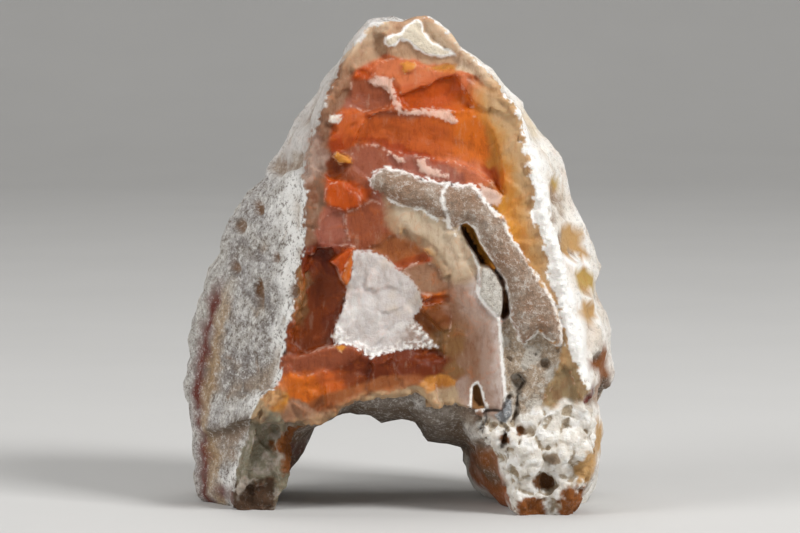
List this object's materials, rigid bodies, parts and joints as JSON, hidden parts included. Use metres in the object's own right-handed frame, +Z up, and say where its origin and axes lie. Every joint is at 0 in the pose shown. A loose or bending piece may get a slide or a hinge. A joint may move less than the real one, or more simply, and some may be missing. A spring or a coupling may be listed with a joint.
{
  "type": "fortification agate",
  "caption": "Broken fortification agate standing on two legs: waxy orange chalcedony face around a sugary quartz heart, in a chalky grey-white rind, with an arch between the legs.",
  "frame": {"origin": "on the resting plane, under the middle of the stone's bounding box", "axes": "+Z up through the apex, -Y out of the broken orange face, +X to the right as seen from that face"},
  "size_m": [0.0556, 0.0304, 0.0629],
  "materials": {
    "agate": "waxy translucent orange chalcedony and sugary quartz in a matt chalky rind"
  },
  "bodies": {
    "root": {"agate": "agate"}
  },
  "joints": []
}
